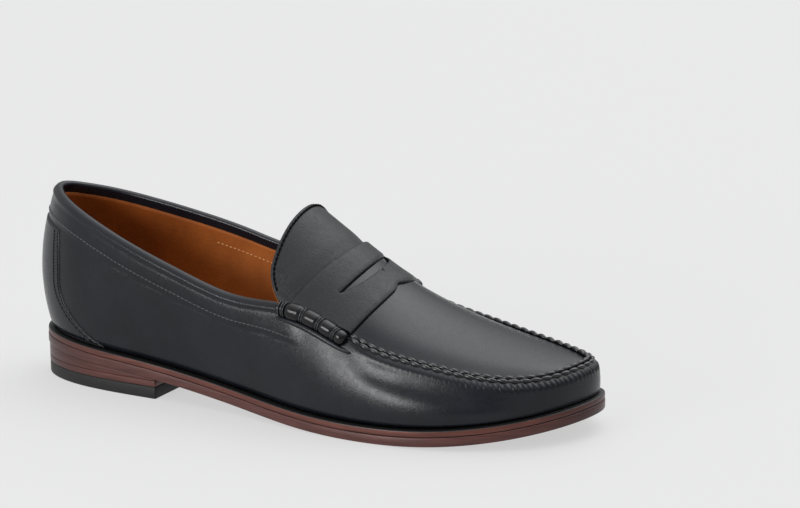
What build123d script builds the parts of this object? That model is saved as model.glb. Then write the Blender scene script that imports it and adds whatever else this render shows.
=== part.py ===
from build123d import *
import math
import os

import numpy as np

# A right penny loafer. Millimetres, +X towards the toe, +Z up, -Y the outer (lateral) side.
# The origin is on the ground, under the middle of the shoe.

# ---- driving dimensions ------------------------------------------------------------------
SOLE_EDGE = 7.5        # welt and outsole together, at the edge
WELT = 3.0
LAYER_GAP = 0.1        # glue line between the layers of the bottom
HEEL_FRONT = -66.0     # heel breast
TOP_PIECE = 6.0        # rubber under the heel
HEEL_LIFT = 3.0        # flat leather lift on the rubber
FEATHER = 3.0          # ledge of welt that shows outside the upper
LEATHER = 1.6          # outer leather of the wall
STIFFENER = (1.9, 3.0)     # depth of the stiffeners below the outer face of the wall
LINING = (3.2, 4.2)        # depth of the lining
COLLAR_FOLD = (2.1, 4.2)   # depth of the leather that is turned in at the topline
WALL_STEP = 0.5        # stations between the sections of the wall's layers
WALL_TOP = 0.965       # share of the wall's height where the flat leather ends
INSOLE = 2.6
SOCK = 1.2
APRON = 2.0            # leather of the apron and the tongue
TONGUE_LINING = 1.0
STRAP = 2.0
STRAP_CROWN_Y = -1.0   # middle of the strap, across the shoe
STRAP_BACK = (26.4, 0.0103)    # rear edge at the crown, and how fast it runs back from there
SLOT_BACK = (36.5, 0.0078)     # rear edge of the slot, likewise
SLOT_WIDTH = 4.0
SLOT_HALF = 27.0       # from the crown to either end of the slot
SLOT_NICK = 1.8        # depth of the small notch in the slot's front edge
ROLL_RADIUS = 4.5      # beef rolls at the ends of the strap
ROLL_CORD = 0.55
RIDGE_RADIUS = 1.6     # raised seam round the apron
RIDGE_THREAD = 0.35
BINDING_RADIUS = 1.6   # folded edge of the topline
THREAD = 0.35          # radius of a sewing stitch
NAIL_RADIUS = 1.0

# One row for each station round the shoe, from the back of the heel along the lateral side
# to the toe and back along the medial side: edge of the sole x, y; top of the wall x, y; and
# the height of the topline, which is None where the wall ends at the apron.
STATIONS = [
    (-145, 3, -140, 3, 93),
    (-138, -15, -134, -9.5, 91.5),
    (-117, -27.5, -115, -22, 86),
    (-87, -32.5, -83, -29, 74.5),
    (-50, -34.5, -50, -32.5, 64),
    (-15, -39, -17.5, -35, 56.5),
    (20, -47, 17, -37, 55),
    (55, -50.5, 48.5, -39.5, None),
    (87, -47.5, 77.5, -37.5, None),
    (116, -35, 107.5, -30.5, None),
    (138, -16, 131, -16.5, None),
    (148, 8, 142, 6.5, None),
    (142, 28.5, 136, 23.5, None),
    (120, 44, 109, 33, None),
    (87, 50.5, 77.5, 37.5, None),
    (53, 49, 46, 38, None),
    (17, 39, 15.5, 36, None),
    (-17, 32, -18.5, 34, 65),
    (-50, 31, -49.5, 33, 72),
    (-87, 34.5, -82.5, 31, 79.5),
    (-117, 32, -114.5, 26, 86),
    (-138, 20, -133, 15.5, 90.5),
]
LAP = len(STATIONS)
ROLL_LATERAL = (5.65, 6.8)     # stations between which each beef roll lies
ROLL_MEDIAL = (15.15, 16.3)
SEAM = (6.95, 15.0)            # stations of the apron seam, round the toe

# Heights along the shoe, as (x, height): the middle line of the apron, how far the apron
# falls away 34 mm from that line, where the line lies across the shoe, and the welt's top.
INSTEP = [(-20, 108), (0, 96), (25, 78.5), (50, 62.5), (85, 48), (115, 40), (138, 34.5)]
FALL = [(-50, 32), (-5, 27), (30, 17.5), (60, 11), (95, 8.5), (140, 8.5)]
MIDDLE = [(-50, 2), (15, 1), (75, 2), (140, 8)]
WELT_TOP = [(-145, 23.5), (-105, 20.5), (-70, 17.8), (-35, 13.6), (5, 9.3), (45, 7.5),
            (85, 8.6), (118, 12.1), (149, 18.2)]
FALL_REACH = 34.0
SEAM_FALL = 0.022      # the apron's seam lies lower and lower towards the outer side,
SEAM_LEVEL_Y = 35.0    # compared with the apron's surface, which it meets here

# Fullness of the wall at the heel, the waist, the ball and the toe: how far its lower and
# its upper part swell outwards.
SWELL = [(0, 9, 8), (2.5, 3.5, 5), (5, 2, 4), (8, 3, 6), (11, 2.5, 3.5), (14, 3, 6),
         (17, 1, 4), (19.5, 3.5, 5)]

# The seam of the heel foxing, seen from the side, as (z, x): it sweeps down from the topline
# and then forwards to the welt.
FOXING_SEAM = [(16, -88), (22, -99.5), (30, -112), (42, -122.5), (58, -125), (78, -126.7),
               (98, -129.5)]
SEAM_GAP = 0.15


# ---- shape of the last -------------------------------------------------------------------
def smooth(knots, values, lap=None):
    """A cubic curve through the values, with natural ends, or closed after one lap."""
    knots = np.array(knots, float)
    values = np.array(values, float)
    if lap:
        knots = np.append(knots, knots[0] + lap)
        values = np.concatenate([values, values[:1]])
    step = np.diff(knots)
    slope = (np.diff(values, axis=0).T / step).T
    count = len(knots)
    system = np.eye(count)
    right = np.zeros(values.shape)
    for i in range(1, count - 1):
        system[i, i - 1:i + 2] = step[i - 1], 2 * (step[i - 1] + step[i]), step[i]
        right[i] = 6 * (slope[i] - slope[i - 1])
    if lap:
        system[0, :2] = 2 * (step[-1] + step[0]), step[0]
        system[0, -2] = step[-1]
        right[0] = 6 * (slope[0] - slope[-1])
        system[-1, 0] = -1
    bend = np.linalg.solve(system, right)

    def curve(t):
        if lap:
            t = (t - knots[0]) % lap + knots[0]
        i = int(np.clip(np.searchsorted(knots, t, side="right") - 1, 0, count - 2))
        b = (t - knots[i]) / step[i]
        a = 1 - b
        swing = ((a**3 - a) * bend[i] + (b**3 - b) * bend[i + 1]) * step[i] ** 2 / 6
        return a * values[i] + b * values[i + 1] + swing

    return curve


def spread(first, last, count):
    return [float(value) for value in np.linspace(first, last, count)]


def along(table):
    return smooth([row[0] for row in table], [row[1] for row in table])


instep, fall, middle, welt_top = along(INSTEP), along(FALL), along(MIDDLE), along(WELT_TOP)
foxing_x = along(FOXING_SEAM)


def apron_height(x, y):
    side = y - middle(x)
    return float(instep(x) - fall(x) * (side / FALL_REACH) ** 2)


outline = smooth(range(LAP), [row[:2] for row in STATIONS], LAP)
topline = smooth(
    range(LAP),
    [(row[2], row[3], row[4] or apron_height(row[2], row[3]) + SEAM_FALL * (row[3] - SEAM_LEVEL_Y))
     for row in STATIONS],
    LAP,
)
swell = smooth([row[0] for row in SWELL], [row[1:] for row in SWELL], LAP)


def outward(station):
    """Level unit vector out of the shoe, square to the edge of the sole."""
    ahead = outline(station + 0.02) - outline(station - 0.02)
    return np.array([ahead[1], -ahead[0], 0]) / math.hypot(*ahead)


def sole_point(station, inset):
    x, y = outline(station) - outward(station)[:2] * inset
    return float(x), float(y)


def feather_point(station):
    x, y = sole_point(station, FEATHER)
    return np.array([x, y, float(welt_top(x)) + 0.2])


def wall_frame(station):
    """Foot of the wall, its outward and upward directions, and its top in those two."""
    foot, out = feather_point(station), outward(station)
    rise = topline(station) - foot
    lean = float(rise @ out)
    up = rise - lean * out
    height = float(np.linalg.norm(up))
    return foot, out, up / height, lean, height


def wall_profile(station, share, depth):
    """Point of the wall's section, as outward and upward distances from its foot."""
    _, _, _, lean, height = wall_frame(station)
    low, high = swell(station)
    legs = np.array([(0, 0), (low, 0.35 * height), (lean + high, 0.7 * height), (lean, height)])
    s, r = share, 1 - share
    point = r**3 * legs[0] + 3 * r * r * s * legs[1] + 3 * r * s * s * legs[2] + s**3 * legs[3]
    way = (r * r * (legs[1] - legs[0]) + 2 * r * s * (legs[2] - legs[1])
           + s * s * (legs[3] - legs[2]))
    inward = np.array([-way[1], way[0]]) / np.linalg.norm(way)
    return tuple(float(value) for value in point + depth * inward)


def wall_point(station, share, depth):
    foot, out, up, _, _ = wall_frame(station)
    a, b = wall_profile(station, share, depth)
    return Vector(*(foot + a * out + b * up))


def section_plane(station):
    foot, out, up, _, _ = wall_frame(station)
    return Plane(origin=tuple(foot), x_dir=tuple(out), z_dir=tuple(np.cross(out, up)))


def square_plane(curve, station):
    """Plane square to a curve round the shoe."""
    way = curve(station + 0.02) - curve(station - 0.02)
    return Plane(origin=tuple(curve(station)), x_dir=tuple(outward(station)), z_dir=tuple(way))


# ---- solids that several pieces are cut from ---------------------------------------------
def wall_layer(start, end, low, high, depths):
    """Leather that follows the wall between two stations, two heights and two depths."""
    inner_stations = [i * WALL_STEP for i in range(round(-6 / WALL_STEP), round(22 / WALL_STEP))]
    stations = [s for s in inner_stations if start + 0.1 < s < end - 0.1]
    with BuildPart() as layer:
        for station in [start, *stations, end]:
            shares = spread(low, high, 5)
            outer = [wall_profile(station, share, depths[0]) for share in shares]
            inner = [wall_profile(station, share, depths[1]) for share in shares]
            with BuildSketch(section_plane(station)):
                with BuildLine():
                    Spline(*outer)
                    Line(outer[-1], inner[-1])
                    Spline(*inner)
                    Line(inner[0], outer[0])
                make_face()
        loft()
    return layer.part


def tube(curve, start, end, radius, count):
    """Round bead along a curve round the shoe."""
    with BuildPart() as bead:
        for station in spread(start, end, count):
            with BuildSketch(square_plane(curve, station)):
                Circle(radius)
        loft()
    return bead.part


def draped_sheet(start, end, top, bottom):
    """Leather that follows the apron's surface, wider than any piece that is cut from it."""
    with BuildPart() as sheet:
        for x in spread(start, end, 9):
            sides = spread(-44, 44, 5)
            upper = [(y, apron_height(x, y) + top) for y in sides]
            lower = [(y, apron_height(x, y) + bottom) for y in sides]
            with BuildSketch(Plane(origin=(x, 0, 0), x_dir=(0, 1, 0), z_dir=(1, 0, 0))):
                with BuildLine():
                    Spline(*upper)
                    Line(upper[-1], lower[-1])
                    Spline(*lower)
                    Line(lower[0], upper[0])
                make_face()
        loft()
    return sheet.part


def sole_layer(inset, top, bottom, back=-160.0, front=160.0):
    """Layer of the bottom between two heights that are measured from the welt's top."""
    stretch = spread(-150, 152, 8)
    upper = [(x, float(welt_top(x)) + top) for x in stretch]
    lower = [(x, float(welt_top(x)) + bottom) for x in stretch]
    with BuildPart() as layer:
        with BuildSketch(Plane.XY):
            with BuildLine():
                Spline(*[sole_point(i, inset) for i in range(LAP)], periodic=True)
            make_face()
        extrude(amount=40)
        with BuildSketch(Plane.XZ):
            with BuildLine():
                Spline(*upper)
                Line(upper[-1], lower[-1])
                Spline(*lower)
                Line(lower[0], upper[0])
            make_face()
        extrude(amount=80, both=True, mode=Mode.INTERSECT)
        with BuildSketch(Plane.XY):
            with Locations(((back + front) / 2, 0)):
                Rectangle(front - back, 160)
        extrude(amount=40, mode=Mode.INTERSECT)
    return layer.part


def heel_block(inset, floor):
    """Everything under the outsole, behind the breast and above a height."""
    stretch = spread(-150, HEEL_FRONT + 8, 6)
    under = [(x, float(welt_top(x)) - SOLE_EDGE - LAYER_GAP) for x in stretch]
    with BuildPart() as block:
        with BuildSketch(Plane.XY.offset(floor)):
            with BuildLine():
                Spline(*[sole_point(i, inset) for i in range(LAP)], periodic=True)
            make_face()
        extrude(amount=30)
        with BuildSketch(Plane.XZ):
            with BuildLine():
                Spline(*under)
                Polyline(under[-1], (under[-1][0], 0), (under[0][0], 0), under[0])
            make_face()
        extrude(amount=80, both=True, mode=Mode.INTERSECT)
        split(bisect_by=Plane(origin=(HEEL_FRONT, 0, 0), z_dir=(1, 0, 0)), keep=Keep.BOTTOM)
    return block.part


def roll_axis(station):
    return topline(station) + 1.5 * outward(station) - np.array([0, 0, 1.0])


def ridge_axis(station):
    return topline(station) + np.array([0, 0, 0.5])


lateral_roll_room = tube(roll_axis, ROLL_LATERAL[0] - 0.05, ROLL_LATERAL[1] + 0.05,
                         ROLL_RADIUS + 1.3, 7)
medial_roll_room = tube(roll_axis, ROLL_MEDIAL[0] - 0.05, ROLL_MEDIAL[1] + 0.05,
                        ROLL_RADIUS + 1.3, 7)
seam_room = tube(ridge_axis, SEAM[0] - 0.1, SEAM[1] + 0.1, RIDGE_RADIUS + 1.5, 18)



def behind_foxing_seam(shift):
    """Everything behind the seam of the foxing, when that is shifted forwards a little."""
    heights = spread(FOXING_SEAM[0][0], FOXING_SEAM[-1][0], 7)
    seam = [(float(foxing_x(z)) + shift, z) for z in heights]
    with BuildPart() as region:
        with BuildSketch(Plane.XZ):
            with BuildLine():
                Spline(*seam)
                Polyline(seam[-1], (-170, seam[-1][1]), (-170, seam[0][1]), seam[0])
            make_face()
        extrude(amount=80, both=True)
    return region.part


# ---- the bottom of the shoe --------------------------------------------------------------
os.makedirs("parts", exist_ok=True)

with BuildPart() as outsole:
    add(sole_layer(0, -WELT - LAYER_GAP, -SOLE_EDGE))
outsole.part.label = "outsole"
export_step(outsole.part, "parts/outsole.step")

welt_blank = sole_layer(0.4, 0, -WELT)
welt_hole = sole_layer(9.0, 1, -WELT - 1)
with BuildPart() as welt:
    add(welt_blank)
    add(welt_hole, mode=Mode.SUBTRACT)
welt.part.label = "welt"
export_step(welt.part, "parts/welt.step")

SHANK_BACK, SHANK_FRONT, SHANK_WIDTH, SHANK_THICK = -100, 12, 16, 1.4
shank_layer = sole_layer(9.3, -LAYER_GAP, -SHANK_THICK, SHANK_BACK, SHANK_FRONT)
with BuildPart() as shank:
    with BuildSketch(Plane.XY):
        with Locations(((SHANK_BACK + SHANK_FRONT) / 2, 0)):
            SlotOverall(SHANK_FRONT - SHANK_BACK - 1, SHANK_WIDTH)
    extrude(amount=40)
    add(shank_layer, mode=Mode.INTERSECT)
shank.part.label = "shank"
export_step(shank.part, "parts/shank.step")

filler_layer = sole_layer(9.3, 0, -WELT)
with BuildPart() as cork_filler:
    add(filler_layer)
    with BuildSketch(Plane.XY):
        with Locations(((SHANK_BACK + SHANK_FRONT) / 2, 0)):
            SlotOverall(SHANK_FRONT - SHANK_BACK, SHANK_WIDTH + 1)
    pocket = extrude(amount=40, mode=Mode.PRIVATE)
    add(pocket.intersect(sole_layer(9.3, 1, -SHANK_THICK - LAYER_GAP)), mode=Mode.SUBTRACT)
cork_filler.part.label = "cork_filler"
export_step(cork_filler.part, "parts/cork_filler.step")

with BuildPart() as insole:
    add(sole_layer(8.2, 0.2 + INSOLE, 0.2))
insole.part.label = "insole"
export_step(insole.part, "parts/insole.step")

with BuildPart() as sock_lining:
    add(sole_layer(8.8, 0.3 + INSOLE + SOCK, 0.3 + INSOLE))
sock_lining.part.label = "sock_lining"
export_step(sock_lining.part, "parts/sock_lining.step")

# the heel, nailed through from below
nail_spots = [sole_point(i, 9) for i in (-2, -1.2, 0, 1.2, 2)] + [(-78, -18), (-78, 20)]
heel_upper = heel_block(0.5, TOP_PIECE + HEEL_LIFT + 2 * LAYER_GAP)
with BuildPart() as heel_seat_lift:
    add(heel_upper)
    with BuildSketch(Plane.XY):
        with Locations(*nail_spots):
            Circle(NAIL_RADIUS)
    extrude(amount=TOP_PIECE + HEEL_LIFT + 1.5, mode=Mode.SUBTRACT)
heel_seat_lift.part.label = "heel_seat_lift"
export_step(heel_seat_lift.part, "parts/heel_seat_lift.step")


def flat_heel_sketch(inset):
    """Plan of the heel, cut straight across at the breast."""
    with BuildSketch(Plane.XY) as plan:
        with BuildLine():
            Spline(*[sole_point(i, inset) for i in range(LAP)], periodic=True)
        make_face()
        with Locations((HEEL_FRONT - 100, 0)):
            Rectangle(200, 160, mode=Mode.INTERSECT)
    return plan.sketch


lift_plan = flat_heel_sketch(0.5)
with BuildPart() as heel_lift:
    with BuildSketch(Plane.XY.offset(TOP_PIECE + LAYER_GAP)):
        add(lift_plan)
        with Locations(*nail_spots):
            Circle(NAIL_RADIUS, mode=Mode.SUBTRACT)
    extrude(amount=HEEL_LIFT)
heel_lift.part.label = "heel_lift"
export_step(heel_lift.part, "parts/heel_lift.step")

top_piece_plan = flat_heel_sketch(0.7)
with BuildPart() as heel_top_piece:
    with BuildSketch(Plane.XY):
        add(top_piece_plan)
    extrude(amount=TOP_PIECE)
    with BuildSketch(Plane.XY.offset(1.5)):
        with Locations(*nail_spots):
            Circle(NAIL_RADIUS)
    extrude(amount=TOP_PIECE, mode=Mode.SUBTRACT)
heel_top_piece.part.label = "heel_top_piece"
export_step(heel_top_piece.part, "parts/heel_top_piece.step")

with BuildPart() as heel_nails:
    with BuildSketch(Plane.XY.offset(1.5)):
        with Locations(*nail_spots):
            Circle(NAIL_RADIUS)
    extrude(amount=TOP_PIECE + HEEL_LIFT - 0.2)
heel_nails.part.label = "heel_nails"
export_step(heel_nails.part, "parts/heel_nails.step")

# ---- the wall ----------------------------------------------------------------------------
wall_blank = wall_layer(1.0, 21.0, 0, WALL_TOP, (0, LEATHER))
foxing_room = behind_foxing_seam(SEAM_GAP)
with BuildPart() as vamp_wall:
    add(wall_blank)
    add(foxing_room, mode=Mode.SUBTRACT)
    add(lateral_roll_room, mode=Mode.SUBTRACT)
    add(medial_roll_room, mode=Mode.SUBTRACT)
    add(seam_room, mode=Mode.SUBTRACT)
vamp_wall.part.label = "vamp_wall"
export_step(vamp_wall.part, "parts/vamp_wall.step")

foxing_blank = wall_layer(-3.0, 3.0, 0, WALL_TOP, (0, LEATHER))
foxing_limit = behind_foxing_seam(-SEAM_GAP)
with BuildPart() as heel_foxing:
    add(foxing_blank)
    add(foxing_limit, mode=Mode.INTERSECT)
heel_foxing.part.label = "heel_foxing"
export_step(heel_foxing.part, "parts/heel_foxing.step")

with BuildPart() as heel_stiffener:
    add(wall_layer(-2.8, 2.8, 0.03, 0.7, STIFFENER))
heel_stiffener.part.label = "heel_stiffener"
export_step(heel_stiffener.part, "parts/heel_stiffener.step")

puff_blank = wall_layer(8.6, 13.4, 0.05, 0.85, STIFFENER)
with BuildPart() as toe_puff:
    add(puff_blank)
    add(seam_room, mode=Mode.SUBTRACT)
toe_puff.part.label = "toe_puff"
export_step(toe_puff.part, "parts/toe_puff.step")

LINING_TOP = 0.86      # where the tan lining meets the turned-in leather
with BuildPart() as heel_grip:
    add(wall_layer(-1.2, 1.2, 0.03, LINING_TOP, LINING))
heel_grip.part.label = "heel_grip"
export_step(heel_grip.part, "parts/heel_grip.step")

with BuildPart() as quarter_lining_lateral:
    add(wall_layer(1.23, 5.3, 0.03, LINING_TOP, LINING))
quarter_lining_lateral.part.label = "quarter_lining_lateral"
export_step(quarter_lining_lateral.part, "parts/quarter_lining_lateral.step")

with BuildPart() as quarter_lining_medial:
    add(wall_layer(16.7, 20.77, 0.03, LINING_TOP, LINING))
quarter_lining_medial.part.label = "quarter_lining_medial"
export_step(quarter_lining_medial.part, "parts/quarter_lining_medial.step")

vamp_lining_blank = wall_layer(5.32, 16.68, 0.03, 0.82, LINING)
with BuildPart() as vamp_lining:
    add(vamp_lining_blank)
    add(lateral_roll_room, mode=Mode.SUBTRACT)
    add(medial_roll_room, mode=Mode.SUBTRACT)
    add(seam_room, mode=Mode.SUBTRACT)
vamp_lining.part.label = "vamp_lining"
export_step(vamp_lining.part, "parts/vamp_lining.step")

with BuildPart() as collar_band:
    add(wall_layer(16.4 - LAP, 5.55, LINING_TOP + 0.01, WALL_TOP, COLLAR_FOLD))
collar_band.part.label = "collar_band"
export_step(collar_band.part, "parts/collar_band.step")

with BuildPart() as topline_binding:
    add(tube(topline, 16.4 - LAP, 5.55, BINDING_RADIUS, 17))
topline_binding.part.label = "topline_binding"
export_step(topline_binding.part, "parts/topline_binding.step")


# ---- apron, strap and tongue -------------------------------------------------------------
SHEET_HEIGHT = 130     # above everything that is cut to a draped sheet


def strap_back(y):
    return STRAP_BACK[0] - STRAP_BACK[1] * (y - STRAP_CROWN_Y) ** 2


def apron_edge(station, inset):
    x, y, _ = topline(station) - inset * outward(station)
    return float(x), float(y)


def apron_plan(inset, behind):
    """Plan of the apron, which ends a little way under the strap."""
    edge = [apron_edge(station, inset) for station in spread(6.25, 15.75, 14)]
    back = [(strap_back(y) + behind, y) for y in spread(edge[-1][1] - 2, edge[0][1] + 2, 7)]
    with BuildSketch(Plane.XY) as plan:
        with BuildLine():
            Spline(*edge)
            Line(edge[-1], back[0])
            Spline(*back)
            Line(back[-1], edge[0])
        make_face()
    return plan.sketch


apron_outline = apron_plan(0.5, 3)
apron_sheet = draped_sheet(-22, 146, 0, -APRON)
with BuildPart() as apron:
    with BuildSketch(Plane.XY):
        add(apron_outline)
    extrude(amount=SHEET_HEIGHT)
    add(apron_sheet, mode=Mode.INTERSECT)
    add(lateral_roll_room, mode=Mode.SUBTRACT)
    add(medial_roll_room, mode=Mode.SUBTRACT)
    add(seam_room, mode=Mode.SUBTRACT)
apron.part.label = "apron"
export_step(apron.part, "parts/apron.step")

apron_lining_outline = apron_plan(3.5, 4)
apron_lining_sheet = draped_sheet(-22, 146, -APRON - 0.2, -APRON - 1.2)
with BuildPart() as apron_lining:
    with BuildSketch(Plane.XY):
        add(apron_lining_outline)
    extrude(amount=SHEET_HEIGHT)
    add(apron_lining_sheet, mode=Mode.INTERSECT)
    add(lateral_roll_room, mode=Mode.SUBTRACT)
    add(medial_roll_room, mode=Mode.SUBTRACT)
    add(seam_room, mode=Mode.SUBTRACT)
apron_lining.part.label = "apron_lining"
export_step(apron_lining.part, "parts/apron_lining.step")

STRAP_LIFT = 0.15      # the strap lies on the apron, with a hair between them
STRAP_ENDS = (-37.0, 36.0)
STRAP_FRONT_LATERAL = [(44.4, -37), (47.6, -30), (50, -21), (51, -11), (49.4, STRAP_CROWN_Y)]
STRAP_FRONT_MEDIAL = [(49.4, STRAP_CROWN_Y), (50, 8), (48.3, 19), (45.2, 28), (41.5, 36)]
strap_sheet = draped_sheet(-22, 80, STRAP_LIFT + STRAP, STRAP_LIFT)
slot_ends = (STRAP_CROWN_Y - SLOT_HALF, STRAP_CROWN_Y + SLOT_HALF)


def slot_back(y):
    return SLOT_BACK[0] - SLOT_BACK[1] * (y - STRAP_CROWN_Y) ** 2


def slot_front(share):
    """Point on the front edge of the slot, at a share of the way from its middle to an end."""
    y = STRAP_CROWN_Y + share * SLOT_HALF
    return slot_back(y) + SLOT_WIDTH * (1 - share**4), y


slot_nick = (slot_front(0)[0] + SLOT_NICK, STRAP_CROWN_Y)
slot_tips = [slot_front(-1), slot_front(1)]
with BuildPart() as saddle_strap:
    with BuildSketch(Plane.XY):
        with BuildLine():
            Spline(*STRAP_FRONT_LATERAL)
            Spline(*STRAP_FRONT_MEDIAL)
            Line(STRAP_FRONT_MEDIAL[-1], (strap_back(STRAP_ENDS[1]), STRAP_ENDS[1]))
            Spline(*[(strap_back(y), y) for y in spread(STRAP_ENDS[1], STRAP_ENDS[0], 7)])
            Line((strap_back(STRAP_ENDS[0]), STRAP_ENDS[0]), STRAP_FRONT_LATERAL[0])
        make_face()
        with BuildLine():
            Spline(*[(slot_back(y), y) for y in spread(*slot_ends, 7)])
            Spline(slot_tips[1], slot_front(0.75), slot_front(0.4), slot_front(0.08), slot_nick)
            Spline(slot_nick, slot_front(-0.08), slot_front(-0.4), slot_front(-0.75), slot_tips[0])
        make_face(mode=Mode.SUBTRACT)
    extrude(amount=SHEET_HEIGHT)
    add(strap_sheet, mode=Mode.INTERSECT)
    add(lateral_roll_room, mode=Mode.SUBTRACT)
    add(medial_roll_room, mode=Mode.SUBTRACT)
saddle_strap.part.label = "saddle_strap"
export_step(saddle_strap.part, "parts/saddle_strap.step")

TONGUE_BACK = -2.0     # free edge of the tongue, where it reaches furthest back
TONGUE_HALF = 36.0
TONGUE_CORNER = (7.0, 1.2, 5.0)    # rise of the edge at its end, and just inside it; length
TONGUE_HOLLOW = 2.2    # the middle of the free edge lies that far forward
TONGUE_GAP = 0.5       # from the tongue's root to the rear edge of the strap


def tongue_plan(inset):
    """Plan of the tongue: a gently curved free edge with a round corner at each end."""
    lateral, medial = inset - TONGUE_HALF, TONGUE_HALF - inset
    back = TONGUE_BACK + inset
    end, shoulder, length = TONGUE_CORNER
    root = [(strap_back(y) - TONGUE_GAP - inset, y) for y in spread(medial, lateral, 7)]
    free_edge = [(back + end, lateral), (back + shoulder, lateral + length * 0.35),
                 (back, lateral + length * 1.4), (back + TONGUE_HOLLOW, STRAP_CROWN_Y),
                 (back, medial - length * 1.4), (back + shoulder, medial - length * 0.35),
                 (back + end, medial)]
    with BuildSketch(Plane.XY) as plan:
        with BuildLine():
            Spline(*free_edge)
            Line(free_edge[-1], root[0])
            Spline(*root)
            Line(root[-1], free_edge[0])
        make_face()
    return plan.sketch


tongue_outline = tongue_plan(0)
tongue_sheet = draped_sheet(-22, 80, 0, -APRON)
with BuildPart() as tongue:
    with BuildSketch(Plane.XY):
        add(tongue_outline)
    extrude(amount=SHEET_HEIGHT)
    add(tongue_sheet, mode=Mode.INTERSECT)
    add(lateral_roll_room, mode=Mode.SUBTRACT)
    add(medial_roll_room, mode=Mode.SUBTRACT)
tongue.part.label = "tongue"
export_step(tongue.part, "parts/tongue.step")

tongue_lining_outline = tongue_plan(1.0)
tongue_lining_sheet = draped_sheet(-22, 80, -APRON - 0.1, -APRON - TONGUE_LINING)
with BuildPart() as tongue_lining:
    with BuildSketch(Plane.XY):
        add(tongue_lining_outline)
    extrude(amount=SHEET_HEIGHT)
    add(tongue_lining_sheet, mode=Mode.INTERSECT)
    add(lateral_roll_room, mode=Mode.SUBTRACT)
    add(medial_roll_room, mode=Mode.SUBTRACT)
tongue_lining.part.label = "tongue_lining"
export_step(tongue_lining.part, "parts/tongue_lining.step")

# ---- rolls, seam and sewing --------------------------------------------------------------
with BuildPart() as beef_roll_lateral:
    add(tube(roll_axis, *ROLL_LATERAL, ROLL_RADIUS, 7))
beef_roll_lateral.part.label = "beef_roll_lateral"
export_step(beef_roll_lateral.part, "parts/beef_roll_lateral.step")

with BuildPart() as beef_roll_medial:
    add(tube(roll_axis, *ROLL_MEDIAL, ROLL_RADIUS, 7))
beef_roll_medial.part.label = "beef_roll_medial"
export_step(beef_roll_medial.part, "parts/beef_roll_medial.step")

CORD_SHARES = (0.06, 0.1, 0.14, 0.38, 0.64, 0.88)     # turns of cord, from a roll's back end


def cord_planes(back, front):
    return [square_plane(roll_axis, back + share * (front - back)) for share in CORD_SHARES]


with BuildPart() as roll_cord_lateral:
    with Locations(*cord_planes(*ROLL_LATERAL)):
        Torus(ROLL_RADIUS + ROLL_CORD + 0.1, ROLL_CORD)
roll_cord_lateral.part.label = "roll_cord_lateral"
export_step(roll_cord_lateral.part, "parts/roll_cord_lateral.step")

with BuildPart() as roll_cord_medial:
    with Locations(*cord_planes(ROLL_MEDIAL[1], ROLL_MEDIAL[0])):
        Torus(ROLL_RADIUS + ROLL_CORD + 0.1, ROLL_CORD)
roll_cord_medial.part.label = "roll_cord_medial"
export_step(roll_cord_medial.part, "parts/roll_cord_medial.step")

with BuildPart() as apron_seam:
    add(tube(ridge_axis, *SEAM, RIDGE_RADIUS, 18))
apron_seam.part.label = "apron_seam"
export_step(apron_seam.part, "parts/apron_seam.step")

SEAM_STITCHES = 44
with BuildPart() as apron_stitches:
    with Locations(*[square_plane(ridge_axis, s) for s in spread(SEAM[0] + 0.1, SEAM[1] - 0.1,
                                                                 SEAM_STITCHES)]):
        Torus(RIDGE_RADIUS + RIDGE_THREAD + 0.3, RIDGE_THREAD)
apron_stitches.part.label = "apron_stitches"
export_step(apron_stitches.part, "parts/apron_stitches.step")


def stitch_plane(start, end, away):
    """Plane on which a stitch stands that runs between two points, lifted off the leather."""
    middle_point = (start + end) * 0.5 + away * (THREAD + 0.2)
    return Plane(origin=middle_point, z_dir=end - start)


def wall_stitch(start, end):
    """A stitch on the wall, from and to a station and a share of the height."""
    a, b = wall_point(*start, 0), wall_point(*end, 0)
    away = Vector(*outward((start[0] + end[0]) / 2))
    return stitch_plane(a, b, away), (b - a).length * 0.7


def seam_station(share, side, shift):
    """Station where the foxing seam crosses a share of the wall's height."""
    near, far = 0.0, 3.0
    for _ in range(30):
        half = (near + far) / 2
        spot = wall_point(side * half, share, 0)
        if spot.X < foxing_x(spot.Z) + shift:
            near = half
        else:
            far = half
    return side * near


COLLAR_DROP = 13.4     # from the topline down to the stitch row of the collar


def collar_row(station):
    return station, 1 - COLLAR_DROP / wall_frame(station)[4]


with BuildPart() as collar_stitches:
    stations = spread(16.5 - LAP, 5.4, 60)
    row = [wall_stitch(collar_row(s), collar_row(s + 0.08)) for s in stations]
    with Locations(*[plane for plane, _ in row]):
        Cylinder(THREAD, 1.9)
collar_stitches.part.label = "collar_stitches"
export_step(collar_stitches.part, "parts/collar_stitches.step")

FOXING_ROW_SHARES = (0.05, 0.76)     # the rows end below the collar's row
foxing_row = []
for side in (-1, 1):
    for shift in (-1.6, -4.0):
        shares = spread(*FOXING_ROW_SHARES, 13)
        for low, high in zip(shares[:-1], shares[1:]):
            foot_end = (seam_station(low, side, shift), low)
            head_end = (seam_station(high, side, shift), high)
            foxing_row.append(wall_stitch(foot_end, head_end)[0])
with BuildPart() as foxing_stitches:
    with Locations(*foxing_row):
        Cylinder(THREAD, 1.6)
foxing_stitches.part.label = "foxing_stitches"
export_step(foxing_stitches.part, "parts/foxing_stitches.step")


TONGUE_ROW = 2.2       # from the tongue's free edge to its row of stitches


def sheet_stitch(x_from, y_from, x_to, y_to, lift):
    a = Vector(x_from, y_from, apron_height(x_from, y_from) + lift)
    b = Vector(x_to, y_to, apron_height(x_to, y_to) + lift)
    return stitch_plane(a, b, Vector(0, 0, 1))


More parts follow.
